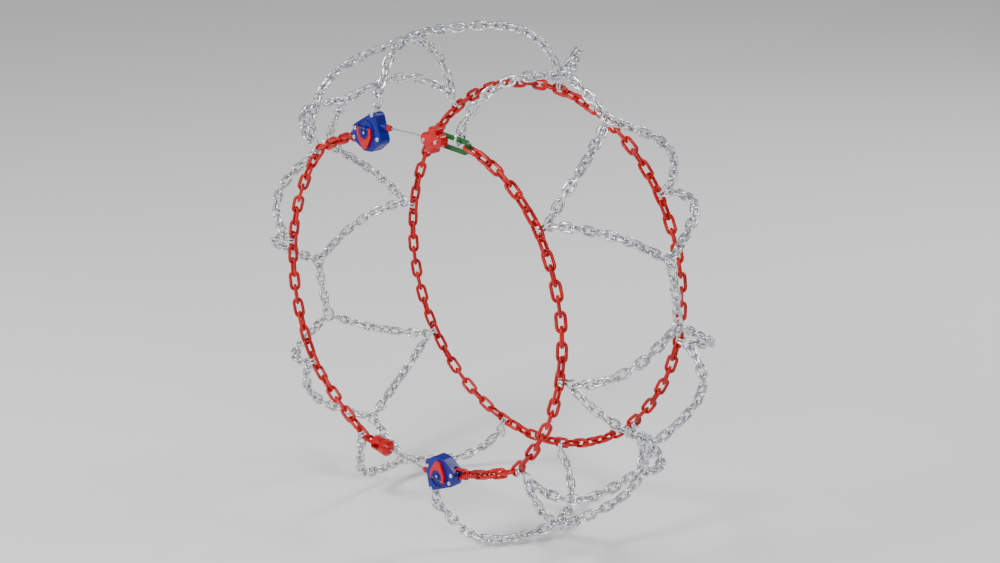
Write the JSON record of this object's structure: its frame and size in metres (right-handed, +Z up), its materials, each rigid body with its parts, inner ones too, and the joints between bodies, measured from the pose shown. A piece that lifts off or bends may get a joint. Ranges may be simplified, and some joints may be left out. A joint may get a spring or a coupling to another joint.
{
  "type": "tire snow chains",
  "caption": "Tensioned net snow chain in its fitted shape: plated diamond net, painted side chains, and two cable ratchets that take up the slack.",
  "frame": {"origin": "centre of the wheel that the net is fitted to, on the wheel axis and in the wheel's middle plane", "axes": "+Y along the wheel axis towards the inner side of the wheel, -Y towards the outer side with the ratchets, +Z up"},
  "size_m": [0.8393, 0.3146, 0.8149],
  "materials": {
    "zinc_chain": "zinc plated",
    "zinc_hook": "zinc plated",
    "zinc_ring": "zinc plated",
    "red_chain": "red enamel, worn at the crowns",
    "blue_housing": "moulded, blue",
    "red_lever": "moulded, red",
    "red_bush": "moulded, red",
    "steel_cable": "galvanised wire rope",
    "black_reel": "moulded, black",
    "spring_steel": "blued spring steel",
    "bright_steel": "bright zinc",
    "red_fitting": "moulded, red",
    "green_link": "green enamel"
  },
  "bodies": {
    "root": {"coupling_link": "green_link", "fitting_rings": "zinc_ring", "inner_cross_bottom": "zinc_chain", "inner_cross_hooks": "zinc_hook", "inner_cross_left": "zinc_chain", "inner_cross_left_high": "zinc_chain", "inner_cross_left_low": "zinc_chain", "inner_cross_right": "zinc_chain", "inner_cross_right_high": "zinc_chain", "inner_cross_right_low": "zinc_chain", "inner_cross_top": "zinc_chain", "lower_base": "blue_housing", "lower_cable_bush": "red_bush", "lower_cover": "blue_housing", "lower_eye_plate": "bright_steel", "lower_pins": "bright_steel", "lower_rivets": "bright_steel", "outer_cross_bottom_left": "zinc_chain", "outer_cross_bottom_right": "zinc_chain", "outer_cross_hooks": "zinc_hook", "outer_cross_left": "zinc_chain", "outer_cross_left_high": "zinc_chain", "outer_cross_left_low": "zinc_chain", "outer_cross_right": "zinc_chain", "outer_cross_right_high": "zinc_chain", "outer_cross_right_low": "zinc_chain", "outer_cross_top_left": "zinc_chain", "outer_cross_top_right": "zinc_chain", "outer_hook_links": "red_chain", "side_chain_bottom_left": "red_chain", "side_chain_bottom_right": "red_chain", "side_chain_inner": "red_chain", "side_chain_left": "red_chain", "side_chain_right": "red_chain", "side_chain_top_left": "red_chain", "side_chain_top_right": "red_chain", "tread_rings": "zinc_ring", "tread_runs": "zinc_chain", "upper_base": "blue_housing", "upper_cable_bush": "red_bush", "upper_cover": "blue_housing", "upper_eye_plate": "bright_steel", "upper_pins": "bright_steel", "upper_rivets": "bright_steel"},
    "upper_lever_body": {"upper_lever": "red_lever"},
    "upper_pawl_body": {"upper_pawl": "bright_steel"},
    "upper_reel_body": {"upper_reel": "black_reel", "upper_winding": "steel_cable", "upper_spiral_spring": "spring_steel"},
    "upper_cable_body": {"upper_cable": "steel_cable", "coupling_knob": "red_fitting", "knob_rivets": "bright_steel"},
    "lower_lever_body": {"lower_lever": "red_lever"},
    "lower_pawl_body": {"lower_pawl": "bright_steel"},
    "lower_reel_body": {"lower_reel": "black_reel", "lower_winding": "steel_cable", "lower_spiral_spring": "spring_steel"},
    "lower_cable_body": {"lower_cable": "steel_cable", "cable_cap": "red_fitting", "fork_pin": "bright_steel"}
  },
  "joints": [
    {"name": "upper_lever_flip", "type": "hinge", "parent": "root", "child": "upper_lever_body", "pos_m": [-0.0854, -0.1651, 0.269], "axis": [-1, 0, 0], "range_deg": [0, 75]},
    {"name": "upper_pawl_turn", "type": "hinge", "parent": "root", "child": "upper_pawl_body", "pos_m": [-0.0744, -0.1461, 0.2409], "axis": [0, -1, 0], "range_deg": [0, 8]},
    {"name": "upper_cable_slide", "type": "slide", "parent": "root", "child": "upper_cable_body", "axis": [1, 0, 0], "range_m": [0, 0.01], "stiffness_N_per_m": 200, "springref_m": -0.02},
    {"name": "upper_reel_turn", "type": "hinge", "parent": "root", "child": "upper_reel_body", "pos_m": [-0.0854, -0.15, 0.2634], "axis": [0, 1, 0], "range_deg": [0, 54.2]},
    {"name": "lower_lever_flip", "type": "hinge", "parent": "root", "child": "lower_lever_body", "pos_m": [0.06942, -0.1651, -0.27157], "axis": [0.9945, 0, -0.1045], "range_deg": [0, 75]},
    {"name": "lower_pawl_turn", "type": "hinge", "parent": "root", "child": "lower_pawl_body", "pos_m": [0.06141, -0.1461, -0.24247], "axis": [0, -1, 0], "range_deg": [0, 8]},
    {"name": "lower_cable_slide", "type": "slide", "parent": "root", "child": "lower_cable_body", "axis": [-0.9945, 0, 0.1045], "range_m": [0, 0.01], "stiffness_N_per_m": 200, "springref_m": -0.02},
    {"name": "lower_reel_turn", "type": "hinge", "parent": "root", "child": "lower_reel_body", "pos_m": [0.07, -0.15, -0.266], "axis": [0, 1, 0], "range_deg": [0, 54.2]}
  ],
  "couplings": [
    {"joint": "upper_pawl_turn", "follows": "upper_lever_flip", "ratio": 0.10667},
    {"joint": "upper_reel_turn", "follows": "upper_cable_slide", "rad_per_m": 94.34},
    {"joint": "lower_pawl_turn", "follows": "lower_lever_flip", "ratio": 0.10667},
    {"joint": "lower_reel_turn", "follows": "lower_cable_slide", "rad_per_m": 94.34}
  ]
}
